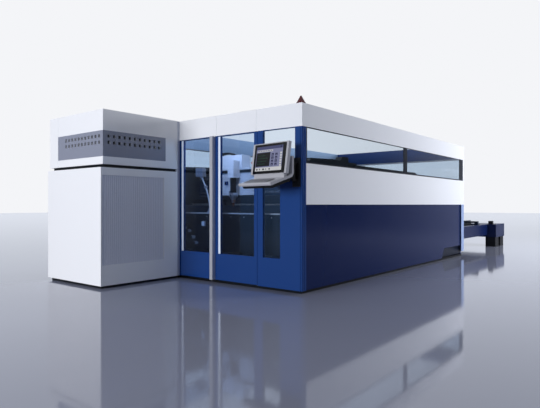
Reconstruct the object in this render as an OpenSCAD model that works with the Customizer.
// Flatbed laser cutting machine with an enclosed bed, a source cabinet and a pallet changer.
// The front with the doors faces -Y, the changer stands at +Y, and the floor is z = 0.

/* [Enclosure] */
// Width of the enclosure
body_w = 3000; // [2900:10:3300]
// Length of the enclosure, front face to rear face
body_l = 5940; // [5840:10:6400]
// Height of the enclosure
body_h = 2300; // [2250:10:2500]
// Height of the white fascia band
fascia_h = 280; // [200:10:300]
// Thickness of the side walls
wall_t = 60; // [50:2:80]
// Depth of the rear portal
portal_d = 270; // [200:10:320]
// Thickness of the folded sheet
sheet_t = 3; // [2:0.5:5]
// Gap between the floor and the panels
plinth_h = 36; // [30:2:60]
// Height of the underside of the white side band
band_z = 1077; // [1000:1:1150]
// Height of the window sill
sill_z = 1578; // [1500:1:1650]
// How far the lower side panel is set back from the band
panel_step = 20; // [10:1:30]
// Side of the front corner post
post_w = 86; // [70:1:110]
// Thickness of the window panes
pane_t = 8; // [5:1:12]
// Height of the sill channels of the windows
channel_t = 20; // [14:1:30]
// Height of the head channels of the windows
head_t = 8; // [6:1:20]
// Width of the middle window post
mullion_w = 124; // [80:2:180]
// Depth of the window channels
frame_d = 24; // [20:1:40]
// Width of the light strip on the rear corners
rear_strip_w = 160; // [100:5:200]
// Height of the foot recess in the side panel
recess_h = 190; // [120:5:260]
// Length of the foot recess
recess_l = 960; // [700:10:1200]
// Inner radius of the fume extraction collar in the rear wall
port_r = 124; // [100:1:150]
// Length of the extraction collar
port_l = 60; // [40:1:100]

/* [Front] */
// Width of the fixed front panel, post and door seam included
fixed_w = 697; // [660:1:760]
// Distance from the corner to the free edge of the right leaf
meet_x = 1522; // [1500:1:1560]
// Distance from the corner to the far edge of the left leaf
doors_w = 2190; // [2150:1:2200]
// Thickness of the door leaves
leaf_t = 44; // [36:1:50]
// Height of the lower edge of the front glass
kick_z = 405; // [350:5:500]
// Width of the right leaf's stile beside the grip
free_stile = 101; // [90:1:120]
// Width of the proud grip profile
grip_w = 57; // [40:1:70]
// How far the grip profile stands proud
grip_d = 60; // [40:1:80]
// Width of the bright strips beside the glass
strip_w = 38; // [30:1:50]
// Gap round the door leaves
door_gap = 3; // [2:0.5:5]
// Radius of the door pivot pins
pivot_r = 8; // [6:0.5:12]
// Radial clearance of running pins
run_fit = 0.05; // [0.02:0.01:0.09]

/* [Source cabinet] */
// Width of the source cabinet
cab_w = 1340; // [1200:10:1500]
// Depth of the source cabinet, filler trim included
cab_d = 1303; // [1250:1:1500]
// Distance from the enclosure corner to the cabinet
cab_offset = 2200; // [2200:10:2300]
// Height of the joint between the lower cabinet and the hood
cab_joint_z = 1556; // [1500:1:1650]
// Height of the dark joint
cab_joint_h = 41; // [30:1:60]
// Thickness of the cabinet walls
cab_wall = 25; // [15:1:40]
// Width of the filler trim between cabinet and enclosure
trim_w = 45; // [30:1:60]
// Lower edge of the vent band
vent_z = 1696; // [1650:1:1750]
// Height of the vent band
vent_h = 333; // [280:1:380]
// Side of the square vent holes
vent_hole = 42; // [20:1:50]
// Number of vent holes in a row
vent_n = 11; // [6:1:11]
// Pitch of the vent holes
vent_pitch = 81; // [70:1:84]
// Number of flutes in the grille
flute_n = 33; // [20:1:40]
// Lower edge of the grille
grille_z = 300; // [200:5:400]
// Distance from the top of the grille to the dark joint
grille_gap = 99; // [60:1:300]
// Width of the grille
grille_w = 990; // [900:10:1020]

/* [Bed and guides] */
// Distance between the two guide rails of the gantry
rail_span = 2390; // [2300:10:2400]
// Height of the top of the bed beams
bed_z = 1060; // [1000:5:1100]
// Width of a bed beam
bed_beam_w = 220; // [160:5:260]
// Length of the bed
bed_l = 4700; // [4500:10:4900]
// Width of a guide rail
rail_w = 35; // [25:1:45]
// Height of a guide rail
rail_h = 40; // [30:1:50]

/* [Gantry] */
// Distance from the front face to the nozzle
head_y = 620; // [560:10:700]
// Distance of the nozzle from the middle of the enclosure, to the left
head_x = 201; // [0:1:400]
// Rest height of the nozzle tip
nozzle_z = 1047; // [1040:1:1060]
// Length of the gantry end trucks
truck_l = 1240; // [1000:10:1300]
// Width of a gantry end truck
truck_w = 212; // [180:2:214]
// Height of the top of the end trucks
truck_top = 1755; // [1700:5:1800]
// Height of the gantry beam
beam_h = 330; // [260:5:360]
// Depth of the gantry beam
beam_d = 300; // [240:5:340]
// Width of the carriage cover
carriage_w = 550; // [500:10:552]
// Height of the top of the carriage cover
cover_top = 1830; // [1760:5:1880]
// Height of the cable tray on the gantry beam
beam_tray_h = 60; // [40:2:64]
// Radius of the head's ram
ram_r = 24; // [18:1:28]

/* [Pallets] */
// Distance from the front face to the working pallet
pallet_front = 400; // [380:5:450]
// Length of a pallet
pallet_l = 3100; // [2900:10:3200]
// Width of a pallet
pallet_w = 1700; // [1600:10:1750]
// Height of the slat tips of the working pallet
work_z = 910; // [900:1:930]
// Drop from the working pallet to the waiting pallet
level_drop = 255; // [250:1:270]
// Height of the pallet frame
pallet_h = 130; // [110:5:140]
// Width of a pallet frame bar
frame_bar = 80; // [70:2:90]
// Number of slats
slat_n = 28; // [20:1:34]
// Thickness of a slat
slat_t = 4; // [3:0.5:6]
// Number of teeth along a slat
tooth_n = 20; // [12:1:24]
// Radius of the pallet wheels
wheel_r = 40; // [30:1:41]
// Radius of the pallet axles
axle_r = 12; // [8:1:16]
// Width of a track rail
track_w = 50; // [40:2:60]

/* [Changer] */
// Length of the pallet changer behind the enclosure
changer_l = 3457; // [3400:1:3600]
// Width over the side beams of the changer
changer_w = 2500; // [2300:10:2600]
// Width of the end box of the changer
endbox_w = 2912; // [2700:2:2980]
// Length of the end box
endbox_l = 797; // [600:1:820]
// Top of the changer side beams
changer_z = 570; // [540:1:590]
// Height of the changer side beams
changer_beam_h = 270; // [200:5:300]

/* [Operator panel] */
// Width of the console
console_w = 620; // [600:2:640]
// Depth of the keyboard shelf
shelf_d = 225; // [200:5:250]
// Width of the black monitor bezel
bezel_w = 545; // [480:5:560]
// Height of the black monitor bezel
bezel_h = 366; // [320:2:380]
// Angle that the console is turned to the left at rest
console_yaw = 8; // [0:1:12]
// Angle that the monitor leans back
lean = 8; // [4:1:10]
// Angle that the shelf slopes down to the front
shelf_slope = 18; // [14:1:20]

/* [Hidden] */

total_w = cab_offset + cab_w;
total_l = cab_d + body_l + changer_l;
// Planes of the enclosure and of the whole machine, with the origin under its middle
xr = total_w / 2;
xl = xr - body_w;
xc = (xl + xr) / 2;
yf = -total_l / 2 + cab_d;
yb = yf + body_l;
ye = yb + changer_l;
fascia_z = body_h - fascia_h;
// Overlap of a cutting tool past the face it cuts
cut = 1;
// Gap between pieces that move past each other
clear = 0.3;

blue = [0.14, 0.27, 0.49];
navy = [0.08, 0.14, 0.30];
white = [0.92, 0.93, 0.95];
pale_grey = [0.80, 0.82, 0.85];
dark_grey = [0.24, 0.25, 0.27];
black = [0.05, 0.05, 0.06];
steel = [0.62, 0.64, 0.67];
pale_glass = [0.72, 0.82, 0.93, 0.45];

// A cuboid between its low and its high corner
module block(low, high) translate(low) cube([for (i = [0:2]) high[i] - low[i]]);

// The same piece on both sides of the enclosure's middle plane
module both_sides() {
    children();
    translate([2 * xc, 0, 0]) mirror([1, 0, 0]) children();
}

// A flat outline in X and Z, given depth from y0 backwards
module upright(y0, depth) translate([0, y0 + depth, 0]) rotate([90, 0, 0]) linear_extrude(depth) children();

// A flat outline in Y and Z, given width from x0 to the right
module sideways(x0, width) translate([x0, 0, 0]) rotate([90, 0, 90]) linear_extrude(width) children();

// A folded panel: a skin on the +X side with returned edges and inner ribs
module tray_x(low, high, ribs) {
    bay = (high[1] - low[1] - sheet_t) / (ribs + 1);
    difference() {
        block(low, high);
        for (i = [0:ribs])
            block([low[0] - cut, low[1] + sheet_t + i * bay, low[2] + sheet_t],
                [high[0] - sheet_t, low[1] + (i + 1) * bay, high[2] - sheet_t]);
    }
}

// Black frame on the floor that carries the walls
plinth_in = 40;
plinth_bar = 150;
module base_plinth() color(black) {
    both_sides() block([xr - plinth_in - plinth_bar, yf + plinth_in, 0], [xr - plinth_in, yb - plinth_in, plinth_h]);
    for (y = [yf + plinth_in, yb - plinth_in - plinth_bar])
        block([xl + plinth_in + plinth_bar + clear, y, 0], [xr - plinth_in - plinth_bar - clear, y + plinth_bar, plinth_h]);
}

// White band round the top, with two panel seams over the doors
seam_w = 4;
seam_d = 3;
seam_x = [720, 1440];
module front_fascia() color(white) difference() {
    block([xl, yf, fascia_z], [xr, yf + wall_t, body_h]);
    for (x = seam_x)
        block([xr - x - seam_w / 2, yf - cut, fascia_z - cut], [xr - x + seam_w / 2, yf + seam_d, body_h + cut]);
}

module side_fascias() color(white) both_sides()
    block([xr - wall_t, yf + wall_t, fascia_z], [xr, yb - portal_d, body_h]);

module rear_fascia() color(white) block([xl, yb - portal_d, fascia_z], [xr, yb, body_h]);

// Blue extruded corner posts with a rounded outer edge, grooves and a hollow core
post_round = 14;
groove_w = 6;
post_wall = 18;
module front_posts() color(blue) both_sides()
    translate([xr - post_w, yf, plinth_h]) linear_extrude(fascia_z - plinth_h) difference() {
        union() {
            square([post_w - post_round, post_w]);
            translate([0, post_round]) square([post_w, post_w - post_round]);
            translate([post_w - post_round, post_round]) circle(r = post_round, $fn = 48);
        }
        translate([post_w * 0.66, -cut]) square([groove_w, groove_w + cut]);
        translate([post_w - groove_w, post_w * 0.5]) square([groove_w + cut, groove_w]);
        translate([post_wall, post_wall]) square(post_w - 2 * post_wall);
    }

// Light angle on the rear corners, from the foot up to the band
strip_z = 100;
module rear_corner_strips() color([0.55, 0.62, 0.75]) both_sides() difference() {
    block([xr - wall_t, yb - rear_strip_w, strip_z], [xr, yb, band_z]);
    block([xr - wall_t - cut, yb - rear_strip_w - cut, strip_z - cut],
        [xr - sheet_t, yb - wall_t, band_z + cut]);
}

// White side bands, with the rear corner carried up beside the window
module side_bands() color(white) both_sides() {
    tray_x([xr - wall_t, yf + post_w, band_z], [xr, yb, sill_z], 5);
    block([xr - wall_t, yb - wall_t, sill_z], [xr, yb, fascia_z]);
}

// Dark lower side panels with the slanted recess for the rear foot
recess_slant = 120;
module lower_panels() color(navy) both_sides() difference() {
    tray_x([xr - wall_t, yf + post_w, plinth_h], [xr - panel_step, yb - rear_strip_w, band_z], 5);
    sideways(xr - wall_t - cut, wall_t)
        polygon([[yb - rear_strip_w - recess_l - recess_slant, plinth_h - cut],
            [yb - rear_strip_w - recess_l, plinth_h + recess_h],
            [yb - rear_strip_w + cut, plinth_h + recess_h],
            [yb - rear_strip_w + cut, plinth_h - cut]]);
}

// Dark channels and posts that hold the side panes in a groove
mullion_y = 2917;
rear_post_w = 190;
edge_w = 20;
pane_in = 6;
window_spans = [[yf + post_w + edge_w, yf + mullion_y],
    [yf + mullion_y + mullion_w, yb - wall_t - rear_post_w]];
module window_frames() color([0.07, 0.10, 0.16]) both_sides() difference() {
    block([xr - frame_d, yf + post_w, sill_z], [xr - 2, yb - wall_t, fascia_z]);
    for (span = window_spans) {
        block([xr - frame_d - cut, span[0], sill_z + channel_t], [xr, span[1], fascia_z - head_t]);
        block([xr - pane_in - pane_t, span[0] - edge_w / 2, sill_z + channel_t / 2],
            [xr - pane_in, span[1] + edge_w / 2, fascia_z - head_t / 2]);
    }
}

// Outline of the front opening: a low window beside the solid part and a wide one over the sill
low_window = [334, 611];
module fixed_opening(grow) {
    translate([xr - low_window[1] - grow, kick_z - grow])
        square([low_window[1] - low_window[0] + 2 * grow, fascia_z - head_t - kick_z + 2 * grow]);
    translate([xr - low_window[1] - grow, sill_z - grow])
        square([low_window[1] - post_w - edge_w + 2 * grow, fascia_z - head_t - sill_z + 2 * grow]);
}

pane_edge = 5;
pane_set = 6;
module fixed_panes() color(pale_glass) {
    both_sides() for (span = window_spans)
        block([xr - pane_in - pane_t, span[0] - edge_w / 2, sill_z + channel_t / 2],
            [xr - pane_in - clear, span[1] + edge_w / 2, fascia_z - head_t / 2]);
    upright(yf + pane_set, pane_t - clear) fixed_opening(pane_edge);
    block([xl + wall_t, yb - 40, sill_z], [xr - wall_t, yb - 40 + pane_t, fascia_z]);
}

module front_fixed_panels() color(blue) {
    difference() {
        block([xr - fixed_w, yf, plinth_h], [xr - post_w, yf + leaf_t, fascia_z]);
        upright(yf - cut, leaf_t + 2 * cut) fixed_opening(0);
        upright(yf + pane_set, pane_t) fixed_opening(pane_edge);
    }
    block([xl + post_w, yf, plinth_h], [xr - doors_w - door_gap, yf + leaf_t, fascia_z]);
}

// Rear wall of separate panels round the slot that both pallets pass, one with the extraction collar
slot_w = pallet_w + 140;
slot_z0 = work_z - level_drop - pallet_h - 2 * wheel_r - 110;
slot_z1 = work_z + 60;
port_x = 1180;
port_z = 1250;
port_wall = 4;
port_panel_h = 320;
module rear_wall() color(navy) {
    x = [xl + wall_t, xc - slot_w / 2, xc + slot_w / 2, xr - wall_t];
    port_low = port_z - port_panel_h / 2;
    port_high = port_z + port_panel_h / 2;
    for (panel = [[x[0], x[1] - clear, plinth_h, port_low - clear], [x[0], x[1] - clear, port_high + clear, sill_z],
            [x[1], x[2], plinth_h, slot_z0], [x[1], x[2], slot_z1, sill_z], [x[2] + clear, x[3], plinth_h, sill_z]])
        block([panel[0], yb - wall_t, panel[2]], [panel[1], yb - clear, panel[3]]);
    difference() {
        union() {
            block([x[0], yb - wall_t, port_low], [x[1] - clear, yb - clear, port_high]);
            translate([xc - port_x, yb - clear - cut, port_z]) rotate([-90, 0, 0]) cylinder(r = port_r + port_wall, h = port_l + cut, $fn = 96);
        }
        translate([xc - port_x, yb - wall_t - cut, port_z]) rotate([-90, 0, 0]) cylinder(r = port_r, h = wall_t + port_l + 2 * cut, $fn = 96);
    }
}

beacon_r = 60;
beacon_h = 96;
beacon_base = 10;
module warning_beacon() color([0.25, 0.04, 0.05]) translate([xr - beacon_r, yf + beacon_r, body_h]) {
    cylinder(r = beacon_r, h = beacon_base, $fn = 48);
    translate([0, 0, beacon_base]) cylinder(r1 = beacon_r - 4, r2 = 8, h = beacon_h - beacon_base, $fn = 48);
}

// Doors: two leaves on pivot pins, meeting at the proud grip profile
leaf_z0 = plinth_h + 8;
leaf_z1 = fascia_z - 4;
nose_r = leaf_t / 2;
pivot_right = [xr - fixed_w - door_gap - nose_r, yf + nose_r];
pivot_left = [xr - doors_w + nose_r, yf + nose_r];
pin_in = 40;
module door_pivots() color(steel) for (p = [pivot_right, pivot_left]) {
    translate([p[0], p[1], plinth_h]) cylinder(r = pivot_r, h = leaf_z0 - plinth_h + pin_in, $fn = 48);
    translate([p[0], p[1], leaf_z1 - pin_in]) cylinder(r = pivot_r, h = fascia_z - leaf_z1 + pin_in, $fn = 48);
}

module pivot_bores(p) for (z = [leaf_z0 - cut, leaf_z1 - pin_in - cut])
    translate([p[0], p[1], z]) cylinder(r = pivot_r + run_fit, h = pin_in + 2 * cut, $fn = 64);

rail_bar = 10;
rebate = 5;
// Leaf frame from its pivot to its free edge, with the glass between two planes
module leaf_frame(p, x_free, glass) color(blue) difference() {
    union() {
        block([min(p[0], x_free), yf, leaf_z0], [max(p[0], x_free), yf + leaf_t, leaf_z1]);
        translate([p[0], p[1], leaf_z0]) cylinder(r = nose_r, h = leaf_z1 - leaf_z0, $fn = 64);
    }
    block([glass[0], yf - cut, kick_z], [glass[1], yf + leaf_t + cut, leaf_z1 - rail_bar]);
    block([glass[0] - rebate, yf + pane_set, kick_z - rebate],
        [glass[1] + rebate, yf + pane_set + pane_t, leaf_z1 - rail_bar + rebate]);
    pivot_bores(p);
}

module leaf_pane(glass) color(pale_glass)
    block([glass[0] - rebate + clear, yf + pane_set, kick_z - rebate],
        [glass[1] + rebate - clear, yf + pane_set + pane_t - clear, leaf_z1 - rail_bar + rebate - clear]);

right_free = xr - meet_x + grip_w;
left_free = xr - meet_x - door_gap;
pivot_stile = 14;
glass_right = [right_free + free_stile, pivot_right[0] - nose_r - pivot_stile];
glass_left = [pivot_left[0] + pivot_stile + strip_w, left_free - pivot_stile];
module door_right_frame() leaf_frame(pivot_right, right_free, glass_right);
module door_left_frame() leaf_frame(pivot_left, left_free, glass_left);
module door_right_pane() leaf_pane(glass_right);
module door_left_pane() leaf_pane(glass_left);

strip_t = 2;
module bright_strip(x) color([0.86, 0.90, 0.95])
    block([x, yf - strip_t, kick_z], [x + strip_w, yf, leaf_z1 - rail_bar]);
module door_right_strip() bright_strip(glass_right[0] - strip_w);
module door_left_strip() bright_strip(glass_left[0] - strip_w);

grip_round = 12;
module door_grip() color([0.66, 0.65, 0.64]) translate([xr - meet_x, yf - grip_d, leaf_z0])
    linear_extrude(leaf_z1 - leaf_z0) difference() {
        union() {
            translate([0, grip_round]) square([grip_w, grip_d + leaf_t - grip_round]);
            translate([grip_round, 0]) square([grip_w - 2 * grip_round, 2 * grip_round]);
            for (x = [grip_round, grip_w - grip_round]) translate([x, grip_round]) circle(r = grip_round, $fn = 32);
        }
        translate([6, 2 * grip_round + 6]) square([grip_w - 12, grip_d + leaf_t - 2 * grip_round - 16]);
    }

// Source cabinet: black inner frame, lower casing and hood
cx1 = xr - cab_offset;
cx0 = cx1 - cab_w;
cy0 = yf - cab_d;
cy1 = yf - trim_w;
hood_in = 30;
hood_y0 = cy0 + hood_in;
hood_z0 = cab_joint_z + cab_joint_h;
cab_post = 60;
module cabinet_frame() color(black) {
    low = [cx0 + plinth_in, cy0 + plinth_in];
    high = [cx1 - plinth_in, cy1];
    for (z = [[0, plinth_h], [cab_joint_z, hood_z0]]) difference() {
        block([low[0], low[1] + (z[0] > 0 ? hood_in : 0), z[0]], [high[0], high[1], z[1]]);
        block([low[0] + 2 * cab_post, low[1] + 2 * cab_post, z[0] - cut], [high[0] - 2 * cab_post, high[1] - 2 * cab_post, z[1] + cut]);
    }
}

module cabinet_base() color(white) difference() {
    block([cx0, cy0, plinth_h], [cx1, cy1, cab_joint_z]);
    block([cx0 + cab_wall, cy0 + cab_wall, plinth_h + cab_wall],
        [cx1 - cab_wall, cy1 - cab_wall, cab_joint_z - cab_wall]);
    block([cx1 - cab_wall - cut, cy0 + grille_in, grille_z], [cx1 + cut, cy0 + grille_in + grille_w, grille_z1]);
}

// Square holes in two rows round the hood's front right corner
vent_t = 4;
vent_end_x = 228;
vent_y = 1010;
vent_first = 88;
vent_drop = 70;
module vent_holes(depth) for (i = [0:vent_n - 1], row = [0, 1]) {
    z = vent_z + vent_h - vent_drop - row * vent_pitch - vent_hole / 2;
    offset_i = vent_first + i * vent_pitch;
    translate([cx1 - offset_i - vent_hole / 2, hood_y0 - cut, z]) cube([vent_hole, depth + cut, vent_hole]);
    translate([cx1 - depth, hood_y0 + offset_i - vent_hole / 2, z]) cube([depth + cut, vent_hole, vent_hole]);
}

module vent_zone() {
    block([cx0 + vent_end_x, hood_y0, vent_z], [cx1, hood_y0 + vent_t, vent_z + vent_h]);
    block([cx1 - vent_t, hood_y0, vent_z], [cx1, hood_y0 + vent_y, vent_z + vent_h]);
}

module cabinet_hood() color(white) difference() {
    block([cx0, hood_y0, hood_z0], [cx1, cy1, body_h]);
    block([cx0 + cab_wall, hood_y0 + cab_wall, hood_z0 + cab_wall],
        [cx1 - cab_wall, cy1 - cab_wall, body_h - cab_wall]);
    vent_zone();
    vent_holes(cab_wall + cut);
    block([cx0 + vent_end_x - seam_w, hood_y0 - cut, hood_z0 - cut], [cx0 + vent_end_x, hood_y0 + seam_d, body_h + cut]);
}

module vent_band() color([0.62, 0.65, 0.70]) difference() {
    vent_zone();
    vent_holes(vent_t + cut);
    block([cx1 - vent_t - clear, hood_y0 - cut, vent_z - cut], [cx1 - vent_t, hood_y0 + vent_t + cut, vent_z + vent_h + cut]);
}

// Vertical flutes of the cooling grille on a thin back plate
grille_in = 20;
grille_z1 = cab_joint_z - grille_gap;
flute_pitch = grille_w / flute_n;
flute_d = 20;
module fluted_grille() color([0.55, 0.58, 0.64]) translate([cx1 - cab_wall, cy0 + grille_in, grille_z])
    linear_extrude(grille_z1 - grille_z) {
        square([4, grille_w]);
        for (i = [0:flute_n - 1]) translate([3.5, i * flute_pitch])
            polygon([[0, 0], [flute_d * 0.7, flute_pitch * 0.22], [flute_d, flute_pitch * 0.5],
                [flute_d * 0.7, flute_pitch * 0.78], [0, flute_pitch]]);
    }

module cabinet_trim() color(pale_grey)
    block([cx0 + 20, cy1, plinth_h], [cx1 - 6, yf, body_h - 2]);

// Pump units on one rack and the cooler with its fan ring, standing in the cabinet
unit_n = 4;
unit_lip = 20;
unit_in = 40;
rack_x = [cx0 + cab_wall + unit_in, cx0 + cab_w * 0.48];
rack_y = [cy0 + cab_wall + 3 * unit_in, cy1 - 3 * unit_in];
rack_z = plinth_h + cab_wall;
rack_gap = 335;
unit_h = (cab_joint_z - rack_gap - rack_z) / unit_n;
cooler_x = [cx0 + cab_w * 0.57, cx1 - 3 * unit_in];
cooler_z1 = cab_joint_z - 0.75 * rack_gap;
fan_r = 200;
fan_d = 60;
module source_modules() color([0.75, 0.76, 0.78]) {
    for (i = [0:unit_n - 1]) {
        block([rack_x[0], rack_y[0], rack_z + i * unit_h], [rack_x[1], rack_y[1], rack_z + (i + 1) * unit_h - unit_lip]);
        block([rack_x[0] + unit_in, rack_y[0] + unit_in, rack_z + (i + 1) * unit_h - unit_lip],
            [rack_x[1] - unit_in, rack_y[1] - unit_in, rack_z + (i + 1) * unit_h]);
    }
    difference() {
        block([cooler_x[0], rack_y[0], rack_z], [cooler_x[1], rack_y[1], cooler_z1]);
        translate([cooler_x[1] - fan_d, (cy0 + cy1) / 2, cooler_z1 - 1.5 * fan_r]) rotate([0, 90, 0]) cylinder(r = fan_r, h = fan_d + cut, $fn = 64);
    }
}

// Bed: two long box beams on legs, tied across
bed_y0 = yf + 160;
bed_y1 = bed_y0 + bed_l;
bed_x = rail_span / 2;
bed_beam_h = 300;
beam_wall = 12;
leg_w = 160;
foot_h = 60;
tie_z = 150;
tie_in = 20;
bearer_x = 450;
bearer_w = 50;
bearer_h = 30;
leg_ys = [for (i = [0:3]) bed_y0 + 60 + i * (bed_l - 120 - leg_w) / 3];
tray_z = foot_h + tie_z + bearer_h;
module machine_bed() color([0.16, 0.20, 0.27]) {
    beam_z = bed_z - bed_beam_h;
    both_sides() {
        difference() {
            block([xc + bed_x - bed_beam_w / 2, bed_y0, beam_z], [xc + bed_x + bed_beam_w / 2, bed_y1, bed_z]);
            block([xc + bed_x - bed_beam_w / 2 + beam_wall, bed_y0 + beam_wall, beam_z + beam_wall],
                [xc + bed_x + bed_beam_w / 2 - beam_wall, bed_y1 - beam_wall, bed_z - beam_wall]);
        }
        for (y = leg_ys)
            block([xc + bed_x - leg_w / 2, y, foot_h], [xc + bed_x + leg_w / 2, y + leg_w, beam_z - clear]);
    }
    for (y = leg_ys)
        block([xc - bed_x + leg_w / 2 + clear, y + tie_in, foot_h],
            [xc + bed_x - leg_w / 2 - clear, y + leg_w - tie_in, foot_h + tie_z - clear]);
    for (x = [-bearer_x, bearer_x]) block([xc + x - bearer_w / 2, leg_ys[0] + tie_in, foot_h + tie_z],
        [xc + x + bearer_w / 2, leg_ys[3] + leg_w - tie_in, tray_z]);
}

foot_r = 70;
foot_pad = 18;
rear_foot_y = [4860, 5310];
module leveling_feet() color([0.20, 0.21, 0.23]) both_sides() {
    for (y = leg_ys) translate([xc + bed_x, y + leg_w / 2, 0]) {
        cylinder(r = foot_r, h = foot_pad, $fn = 48);
        cylinder(r = 20, h = foot_h, $fn = 32);
    }
    block([xr - plinth_in - plinth_bar, yf + rear_foot_y[0], plinth_h],
        [xr - plinth_in - 30, yf + rear_foot_y[1], plinth_h + recess_h - 2]);
}

// Waisted guide rails on the bed beams
module guide_rails() color(steel) both_sides() upright(bed_y0 + 40, bed_l - 80) translate([xc + bed_x, bed_z])
    polygon([[-rail_w / 2, 0], [rail_w / 2, 0], [rail_w / 2, rail_h * 0.4], [rail_w * 0.34, rail_h * 0.55],
        [rail_w / 2, rail_h * 0.8], [rail_w / 2, rail_h], [-rail_w / 2, rail_h], [-rail_w / 2, rail_h * 0.8],
        [-rail_w * 0.34, rail_h * 0.55], [-rail_w / 2, rail_h * 0.4]]);

// Pallet levels and the rails that carry the wheels
frame_drop = 30;
frame_low = work_z - frame_drop - pallet_h;
wheel_gap = 4;
high_track = frame_low - wheel_gap - 2 * wheel_r - clear;
low_track = high_track - level_drop;
track_h = 40;
track_x = pallet_w / 2 - frame_bar / 2 - track_w / 2;
working_y = yf + pallet_front;
track_y0 = working_y - 70;
box_y0 = ye - endbox_l;
changer_beam_w = 120;
arm_w = 80;
module pallet_tracks() color([0.30, 0.33, 0.37]) both_sides() {
    inner = xc + track_x;
    for (z = [high_track, low_track]) {
        block([inner, track_y0, z - track_h], [inner + track_w, box_y0, z]);
        for (y = leg_ys) block([inner + track_w + clear, y + 40, z - track_h], [xc + bed_x - leg_w / 2, y + 40 + arm_w, z]);
    }
    for (y = [yb + 600, yb + 1900]) {
        block([inner + track_w + clear, y, low_track - track_h], [xc + changer_w / 2 - changer_beam_w, y + arm_w, low_track]);
        block([inner + track_w + clear, y, high_track - track_h], [xc + changer_w / 2 - 20, y + arm_w, high_track]);
        block([xc + changer_w / 2 - changer_beam_w + 20, y, changer_z], [xc + changer_w / 2 - 20, y + arm_w, high_track - track_h - clear]);
    }
}

// Folded scrap trays that stand on the bed's bearers under the pallet
tray_w = 1240;
tray_l = 1040;
tray_h = 110;
module scrap_trays() color([0.35, 0.36, 0.38]) for (i = [0:3])
    translate([xc - tray_w / 2, bed_y0 + 80 + i * (tray_l + 60), tray_z]) difference() {
        cube([tray_w, tray_l, tray_h]);
        translate([sheet_t, sheet_t, sheet_t]) cube([tray_w - 2 * sheet_t, tray_l - 2 * sheet_t, tray_h]);
    }

// Gantry, placed by the nozzle
hx = xc - head_x;
hy = yf + head_y;
rail_top = bed_z + rail_h;
truck_z0 = rail_top + clear;
truck_y0 = hy - 190;
beam_z0 = truck_z0 + 110;
beam_z1 = beam_z0 + beam_h;
beam_y0 = hy + 150;
runner_l = 160;
module gantry_beam() color([0.16, 0.20, 0.27]) difference() {
    block([xc - bed_x + truck_w / 2, beam_y0, beam_z0], [xc + bed_x - truck_w / 2, beam_y0 + beam_d, beam_z1]);
    block([xc - bed_x - cut, beam_y0 + beam_wall, beam_z0 + beam_wall],
        [xc + bed_x + cut, beam_y0 + beam_d - beam_wall, beam_z1 - beam_wall]);
    for (i = [-3:3]) translate([xc + i * 275, beam_y0 + beam_d - beam_wall - cut, (beam_z0 + beam_z1) / 2])
        rotate([-90, 0, 0]) cylinder(r = 70, h = beam_wall + 2 * cut, $fn = 48);
}

// End trucks: dark covers over runner blocks that embrace the rails
runner_w = 100;
truck_base = truck_z0 + 60;
truck_low = beam_z1 + 50;
truck_y1 = truck_y0 + truck_l;
truck_slope = 55;
truck_step = 70;
truck_rear = 240;
truck_high = 160;
module gantry_trucks() color([0.13, 0.15, 0.20]) {
    runners = [truck_y0 + 60, truck_y1 - 60 - runner_l];
    both_sides() difference() {
        union() {
            block([xc + bed_x - truck_w / 2, truck_y0, truck_base], [xc + bed_x + truck_w / 2, truck_y1, truck_low]);
            sideways(xc + bed_x, truck_w / 2)
                polygon([[truck_y0, truck_base], [truck_y1, truck_base], [truck_y1, truck_top - truck_step],
                    [truck_y1 - truck_rear, truck_top - truck_step], [truck_y1 - truck_rear, truck_top],
                    [truck_y1 - truck_rear - truck_high, truck_top], [truck_y1 - truck_rear - truck_high - truck_slope, truck_top - truck_slope],
                    [truck_y0 + truck_slope, truck_top - 1.5 * truck_slope], [truck_y0, truck_top - 2 * truck_slope]]);
            for (y = runners)
                block([xc + bed_x - runner_w / 2, y, bed_z + 8], [xc + bed_x + runner_w / 2, y + runner_l, truck_base]);
        }
        for (y = runners) block([xc + bed_x - rail_w / 2 - clear, y - cut, bed_z],
            [xc + bed_x + rail_w / 2 + clear, y + runner_l + cut, rail_top + clear]);
    }
    block([xc + bed_x + truck_w / 2 - cut, chain_y0 - chain_arm_l, chain_high],
        [chain_x + chain_w, chain_y0, chain_high + link_h]);
}

x_rail = 30;
x_rail_zs = [beam_z0 + 40, beam_z1 - 70];
module beam_rails() color(steel) for (z = x_rail_zs)
    block([xc - bed_x + truck_w / 2 + x_rail, beam_y0 - x_rail, z], [xc + bed_x - truck_w / 2 - x_rail, beam_y0, z + x_rail]);

// Dark cable tray along the top of the beam
module beam_tray() color(black) difference() {
    block([xc - bed_x + truck_w / 2, beam_y0, beam_z1], [xc + bed_x - truck_w / 2, beam_y0 + 110, beam_z1 + beam_tray_h]);
    block([xc - bed_x + truck_w / 2 + 4, beam_y0 + 4, beam_z1 + 4],
        [xc + bed_x - truck_w / 2 - 4, beam_y0 + 106, beam_z1 + beam_tray_h + cut]);
}

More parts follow.
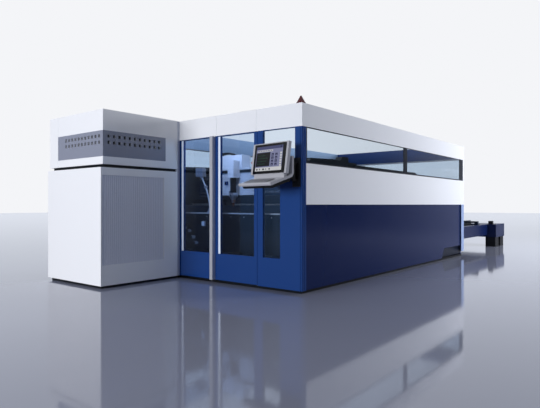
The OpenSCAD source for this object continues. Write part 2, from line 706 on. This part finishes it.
// Carriage: wide plate on the beam's rails, shelf over the tray and the guide of the head's ram
plate_t = 48;
plate_y = beam_y0 - 12 - plate_t;
plate_x = [hx - 329, hx + 331];
shelf_z = beam_z1 + 66;
shelf_t = 20;
shelf_lip = 20;
guide_z = 1480;
guide_w = 120;
cover_x = [hx + 112 - carriage_w, hx + 112];
module carriage() color(pale_grey) difference() {
    union() {
        block([plate_x[0], plate_y, beam_z0 + 10], [plate_x[1], plate_y + plate_t, shelf_z]);
        block([cover_x[0], plate_y - shelf_lip, shelf_z], [plate_x[1], beam_y0 + 110, shelf_z + shelf_t]);
        block([hx - guide_w / 2, hy - guide_w / 2, guide_z], [hx + guide_w / 2, plate_y, shelf_z + shelf_t]);
    }
    for (z = x_rail_zs) block([plate_x[0] - cut, beam_y0 - x_rail - clear, z - clear], [plate_x[1] + cut, beam_y0, z + x_rail + clear]);
    translate([hx, hy, guide_z - cut]) cylinder(r = ram_r + run_fit, h = shelf_z + shelf_t - guide_z + 2 * cut, $fn = 64);
}

// Cover on the shelf, with the bonnet over the ram's upper end
cover_t = 4;
bonnet_z = 1740;
module carriage_cover() color(pale_grey) {
    z0 = shelf_z + shelf_t;
    front = plate_y - shelf_lip;
    difference() {
        block([cover_x[0], front, z0], [cover_x[1], beam_y0 + 110, cover_top]);
        block([cover_x[0] + cover_t, front + cover_t, z0 - cut],
            [cover_x[1] - cover_t, beam_y0 + 110 - cover_t, cover_top - cover_t]);
    }
    difference() {
        block([hx - guide_w / 2, hy - guide_w / 2, z0], [hx + guide_w / 2, front - clear, bonnet_z]);
        block([hx - guide_w / 2 + cover_t, hy - guide_w / 2 + cover_t, z0 - cut],
            [hx + guide_w / 2 - cover_t, front - clear - cover_t, bonnet_z - cover_t]);
    }
}

// Bellows round the ram, between the guide and the head
sleeve_r = 52;
sleeve_in = 6;
fold_n = 9;
head_z1 = 1255;
fold_h = (guide_z - head_z1) / fold_n;
module head_sleeve() color(black) translate([hx, hy, head_z1]) difference() {
    for (i = [0:fold_n - 1]) translate([0, 0, i * fold_h]) {
        cylinder(r1 = sleeve_r - sleeve_in, r2 = sleeve_r, h = fold_h / 2, $fn = 48);
        translate([0, 0, fold_h / 2]) cylinder(r1 = sleeve_r, r2 = sleeve_r - sleeve_in, h = fold_h / 2, $fn = 48);
    }
    translate([0, 0, -cut]) cylinder(r = ram_r + 4, h = guide_z - head_z1 + 2 * cut, $fn = 48);
}

// Cutting head: ram, square body and tapered lens tube
head_z0 = 1185;
tube_z0 = 1110;
ram_z1 = 1660;
module cutting_head() color([0.88, 0.89, 0.90]) {
    translate([hx, hy, head_z1]) cylinder(r = ram_r, h = ram_z1 - head_z1, $fn = 64);
    block([hx - 42, hy - 42, head_z0], [hx + 42, hy + 60, head_z1]);
    translate([hx, hy, tube_z0]) cylinder(r1 = 26, r2 = 36, h = head_z0 - tube_z0, $fn = 48);
}

module nozzle() color([0.72, 0.45, 0.20]) translate([hx, hy, nozzle_z]) difference() {
    union() {
        cylinder(r1 = 4, r2 = 16, h = 30, $fn = 48);
        translate([0, 0, 30]) cylinder(r = 20, h = tube_z0 - nozzle_z - 30, $fn = 48);
    }
    translate([0, 0, -cut]) cylinder(r = 1.5, h = tube_z0 - nozzle_z + 2 * cut, $fn = 24);
}

// Energy chain beside the right bed beam: low run in its tray, bend, and high run to the gantry
chain_w = 96;
chain_x = xc + bed_x + bed_beam_w / 2 + 18;
link_h = 40;
link_pitch = 60;
chain_low = 1190;
chain_high = 1600;
chain_r = (chain_high - chain_low) / 2;
chain_y0 = truck_y1 + 50;
chain_arm_l = 300;
high_links = 30;
low_links = 12;
chain_y1 = chain_y0 + high_links * link_pitch;
tray_y = [chain_y1 - low_links * link_pitch - link_pitch, bed_y1 + 140];
module chain_tray() color([0.30, 0.32, 0.36]) {
    difference() {
        block([chain_x - 6, tray_y[0], chain_low - 4], [chain_x + chain_w + 6, tray_y[1], chain_low + 60]);
        block([chain_x - 3, tray_y[0] - cut, chain_low - clear], [chain_x + chain_w + 3, tray_y[1] + cut, chain_low + 60 + cut]);
    }
    for (y = [tray_y[0] + 40, (tray_y[0] + bed_y1) / 2, bed_y1 - 120])
        block([xc + bed_x + bed_beam_w / 2, y, bed_z - 160], [xc + bed_x + bed_beam_w / 2 + 50, y + 60, chain_low - 4]);
}

module chain_link() sideways(chain_x, chain_w)
    polygon([[2, 0], [link_pitch - 2, 0], [link_pitch, 8], [link_pitch, link_h * 0.6],
        [link_pitch * 0.8, link_h], [link_pitch * 0.2, link_h], [0, link_h * 0.6], [0, 8]]);

bend_n = 12;
module energy_chain() color(black) {
    for (i = [0:low_links - 1]) translate([0, chain_y1 - (i + 1) * link_pitch, chain_low]) chain_link();
    for (i = [0:high_links - 1]) translate([0, chain_y0 + i * link_pitch, chain_high]) chain_link();
    translate([chain_x, chain_y1, (chain_low + chain_high + link_h) / 2]) rotate([90, 0, 90]) linear_extrude(chain_w)
        difference() {
            circle(r = chain_r + link_h / 2, $fn = 2 * bend_n);
            circle(r = chain_r - link_h / 2, $fn = 2 * bend_n);
            translate([-2 * chain_r, -2 * chain_r]) square([2 * chain_r, 4 * chain_r]);
        }
}

// Pallets: frame bars, two bearers, sawtooth slats and the ears that carry the axles
slat_half = pallet_w / 2 - frame_bar;
slat_end = slat_half - clear;
tooth_h = 31;
slat_body = 70;
axle_in = 200;
ear_t = 12;
ear_w = 60;
ear_d = 26;
pallet_bearer_w = 40;
module slat(top) rotate([90, 0, 0]) translate([0, 0, -slat_t / 2]) linear_extrude(slat_t) {
    pitch = 2 * slat_end / tooth_n;
    translate([-slat_end, top - tooth_h - slat_body]) square([2 * slat_end, slat_body]);
    for (i = [0:tooth_n - 1]) translate([-slat_end + i * pitch, top - tooth_h])
        polygon([[0, 0], [pitch, 0], [pitch / 2, tooth_h]]);
}

module pallet(y0, top) {
    z0 = top - frame_drop - pallet_h;
    z1 = top - frame_drop;
    y1 = y0 + pallet_l;
    step = (pallet_l - 2 * frame_bar) / (slat_n + 1);
    both_sides() block([xc + slat_half, y0, z0], [xc + pallet_w / 2, y1, z1]);
    for (y = [y0, y1 - frame_bar]) block([xc - slat_end, y, z0], [xc + slat_end, y + frame_bar, z1]);
    for (i = [1:slat_n]) translate([xc, y0 + frame_bar + i * step, 0]) slat(top);
    for (x = [-pallet_w / 4, pallet_w / 4]) block([xc + x - pallet_bearer_w / 2, y0 + frame_bar + clear, z0],
        [xc + x + pallet_bearer_w / 2, y1 - frame_bar - clear, top - tooth_h - slat_body - clear]);
    for (y = [y0 + axle_in, y1 - axle_in]) both_sides() difference() {
        block([xc + slat_half, y - ear_w / 2, z0 - wheel_gap - wheel_r - ear_d],
            [xc + slat_half + ear_t, y + ear_w / 2, z0 - clear]);
        translate([xc + slat_half - cut, y, z0 - wheel_gap - wheel_r])
            rotate([0, 90, 0]) cylinder(r = axle_r + run_fit, h = ear_t + 2 * cut, $fn = 64);
    }
}

// Wheels with their flange on one through axle
module axle(y, top) translate([xc, y, top - frame_drop - pallet_h - wheel_gap - wheel_r]) rotate([0, 90, 0]) {
    translate([0, 0, -track_x - track_w]) cylinder(r = axle_r, h = 2 * (track_x + track_w), $fn = 64);
    for (side = [-1, 1]) translate([0, 0, side * (track_x + track_w / 2 + 6) - 15]) cylinder(r = wheel_r, h = 30, $fn = 48);
}

waiting_y = box_y0 - 20 - pallet_l;
module working_pallet() color(dark_grey) pallet(working_y, work_z);
module waiting_pallet() color(dark_grey) pallet(waiting_y, work_z - level_drop);
module working_front_axle() color(steel) axle(working_y + axle_in, work_z);
module working_rear_axle() color(steel) axle(working_y + pallet_l - axle_in, work_z);
module waiting_front_axle() color(steel) axle(waiting_y + axle_in, work_z - level_drop);
module waiting_rear_axle() color(steel) axle(waiting_y + pallet_l - axle_in, work_z - level_drop);

// Changer: side beams, wide end box on dark legs and the drive motor
end_z = [247, 575];
changer_wall = 8;
module changer_beams() color(blue) both_sides() difference() {
    block([xc + changer_w / 2 - changer_beam_w, yb, changer_z - changer_beam_h], [xc + changer_w / 2, box_y0, changer_z]);
    block([xc + changer_w / 2 - changer_beam_w + changer_wall, yb - cut, changer_z - changer_beam_h + changer_wall],
        [xc + changer_w / 2 - changer_wall, box_y0 + cut, changer_z - changer_wall]);
}

module changer_end_box() color(blue) difference() {
    block([xc - endbox_w / 2, box_y0, end_z[0]], [xc + endbox_w / 2, ye, end_z[1]]);
    block([xc - endbox_w / 2 + changer_wall, box_y0 + changer_wall, end_z[0] + changer_wall],
        [xc + endbox_w / 2 - changer_wall, ye - changer_wall, end_z[1] - changer_wall]);
}

module changer_legs() color(black) both_sides() {
    for (y = [box_y0 + 20, ye - 320])
        block([xc + endbox_w / 2 - 260, y, 0], [xc + endbox_w / 2 - 20, y + 300, end_z[0]]);
}

module changer_motor() color(black) {
    block([xc + endbox_w / 2 - 190, box_y0 + 10, end_z[1]], [xc + endbox_w / 2 - 90, box_y0 + 110, end_z[1] + 82]);
}

// Operator console: swivel bracket on the corner, arm, L-shaped console, monitor face and keys
swivel = [xr - 75, yf - 75];
swivel_pin = 12;
knuckle_r = 24;
knuckle_z = [1380, 1560];
bracket_z = [1290, 1640];
lug_t = 20;
module panel_bracket() color(black) {
    block([xr - 130, yf - 20, bracket_z[0]], [xr - 20, yf, bracket_z[1]]);
    for (z = [knuckle_z[0] - lug_t - clear, knuckle_z[1] + clear]) {
        block([swivel[0] - 25, swivel[1], z], [swivel[0] + 25, yf - 20, z + lug_t]);
        translate([swivel[0], swivel[1], z]) cylinder(r = 25, h = lug_t, $fn = 48);
    }
    translate([swivel[0], swivel[1], knuckle_z[0] - clear])
        cylinder(r = swivel_pin, h = knuckle_z[1] - knuckle_z[0] + 2 * clear, $fn = 48);
}

// The console's own frame has its origin on the swivel axis
module console_place() translate([swivel[0], swivel[1], 0]) rotate([0, 0, -console_yaw]) children();

console_x1 = 58;
console_x0 = console_x1 - console_w;
face_y = -185;
face_z = [1446, 1826];
face_back = [cos(lean), -sin(lean)];
housing_d = 45;
elbow = [-112, 1460];
elbow_r = 66;
elbow_n = 6;
profile_t = 26;
leg_top = 1650;
lip_h = 36;
shelf_in = 50;
under = [sin(shelf_slope), -cos(shelf_slope)];
along = [-cos(shelf_slope), -sin(shelf_slope)];
heel = elbow + elbow_r * under;
toe = heel + along * (heel[0] - face_y + shelf_d) / cos(shelf_slope);
shelf_top = [toe - lip_h * under, elbow + (elbow_r - profile_t) * under];
function elbow_arc(r) = [for (i = [0:elbow_n]) elbow + r * [cos(i * (90 - shelf_slope) / elbow_n), -sin(i * (90 - shelf_slope) / elbow_n)]];
function reversed(list) = [for (i = [len(list) - 1:-1:0]) list[i]];

// Arm with its knuckle, and the black tray that carries the shelf
tray_t = 40;
module panel_arm() color(black) console_place() {
    difference() {
        union() {
            translate([0, 0, knuckle_z[0]]) cylinder(r = knuckle_r, h = knuckle_z[1] - knuckle_z[0], $fn = 48);
            block([-200, elbow[0] + elbow_r, knuckle_z[0]], [10, elbow[0] + elbow_r + 24, knuckle_z[1]]);
            block([-200, heel[0] - 10, knuckle_z[0] - 30], [-knuckle_r - 6, elbow[0] + elbow_r + 24, knuckle_z[0]]);
        }
        translate([0, 0, knuckle_z[0] - cut]) cylinder(r = swivel_pin + run_fit, h = knuckle_z[1] - knuckle_z[0] + 2 * cut, $fn = 64);
    }
    sideways(console_x0 + shelf_in + 20, console_w - shelf_in - 50)
        polygon([heel + clear * under, toe - 25 * along + clear * under,
            toe - 40 * along + tray_t * under, heel + tray_t * under]);
}

// Console: leaning monitor housing on a profile that is bent round into the keyboard shelf
module housing_outline() polygon([[face_y, face_z[0]], [face_y + (face_z[1] - face_z[0]) * tan(lean), face_z[1]],
    [face_y + (face_z[1] - face_z[0]) * tan(lean), face_z[1]] + housing_d * face_back, [face_y, face_z[0]] + housing_d * face_back]);

module profile_outline() polygon(concat([[elbow[0] + elbow_r, leg_top]], elbow_arc(elbow_r),
    [toe, toe + 8 * along - 0.6 * lip_h * under, shelf_top[0]],
    reversed(elbow_arc(elbow_r - profile_t)), [[elbow[0] + elbow_r - profile_t, leg_top]]));

foot_y = [-175, -125];
foot_z = heel[1] - (heel[0] - foot_y[1]) * tan(shelf_slope) + 4;
neck_z = [1500, 1600];
button_place = [-141, 1600];
button_r = 20;
button_h = 12;
button_travel = 5;
stem_r = 10;
stem_in = 6;
module panel_console() color([0.70, 0.70, 0.70]) console_place() difference() {
    union() {
        sideways(console_x0, console_w) housing_outline();
        sideways(console_x0 + shelf_in, console_w - shelf_in - 6) profile_outline();
        block([console_x0 + shelf_in, foot_y[0], foot_z], [console_x1 - 40, foot_y[1], face_z[0]]);
        block([console_x0 + console_w * 0.3, foot_y[1], neck_z[0]], [console_x1 - console_w * 0.3, elbow[0] + elbow_r - 5, neck_z[1]]);
    }
    translate([console_x0 - cut, button_place[0], button_place[1]]) rotate([0, 90, 0])
        cylinder(r = stem_r + run_fit, h = stem_in + button_travel + 2 * cut, $fn = 64);
}

bezel_side = 31;
module panel_screen() color(black) console_place() translate([console_x1 - bezel_side - bezel_w, face_y, face_z[0]])
    rotate([-lean, 0, 0]) translate([0, -10, 4]) cube([bezel_w, 10, bezel_h]);

key_n = [14, 5];
key_size = [25, 20];
key_pitch = [29, 25];
keys_at = 34;
module panel_keys() color([0.3, 0.3, 0.32]) console_place()
    translate([console_x0 + shelf_in + 50, shelf_top[0][0], shelf_top[0][1]])
        rotate([atan((shelf_top[1][1] - shelf_top[0][1]) / (shelf_top[1][0] - shelf_top[0][0])), 0, 0]) {
            translate([0, keys_at, 0]) cube([key_n[0] * key_pitch[0] + 14, key_n[1] * key_pitch[1] + 14, 4]);
            for (i = [0:key_n[0] - 1], j = [0:key_n[1] - 1])
                translate([9 + i * key_pitch[0], keys_at + 9 + j * key_pitch[1], 4]) cube([key_size[0], key_size[1], 5]);
        }

module stop_button() color([0.75, 0.08, 0.06]) console_place()
    translate([console_x0 - button_travel - cut, button_place[0], button_place[1]]) rotate([0, -90, 0]) {
        cylinder(r = button_r, h = button_h, $fn = 48);
        translate([0, 0, -button_travel - cut - stem_in]) cylinder(r = stem_r, h = button_travel + cut + stem_in, $fn = 64);
    }

base_plinth();
front_fascia();
side_fascias();
rear_fascia();
front_posts();
rear_corner_strips();
side_bands();
lower_panels();
window_frames();
fixed_panes();
front_fixed_panels();
rear_wall();
warning_beacon();
door_pivots();
door_right_frame();
door_right_pane();
door_right_strip();
door_grip();
door_left_frame();
door_left_pane();
door_left_strip();
cabinet_frame();
cabinet_base();
cabinet_hood();
vent_band();
fluted_grille();
cabinet_trim();
source_modules();
machine_bed();
leveling_feet();
guide_rails();
pallet_tracks();
scrap_trays();
chain_tray();
energy_chain();
gantry_beam();
gantry_trucks();
beam_rails();
beam_tray();
carriage();
carriage_cover();
cutting_head();
head_sleeve();
nozzle();
working_pallet();
working_front_axle();
working_rear_axle();
waiting_pallet();
waiting_front_axle();
waiting_rear_axle();
changer_beams();
changer_end_box();
changer_legs();
changer_motor();
panel_bracket();
panel_arm();
panel_console();
panel_screen();
panel_keys();
stop_button();
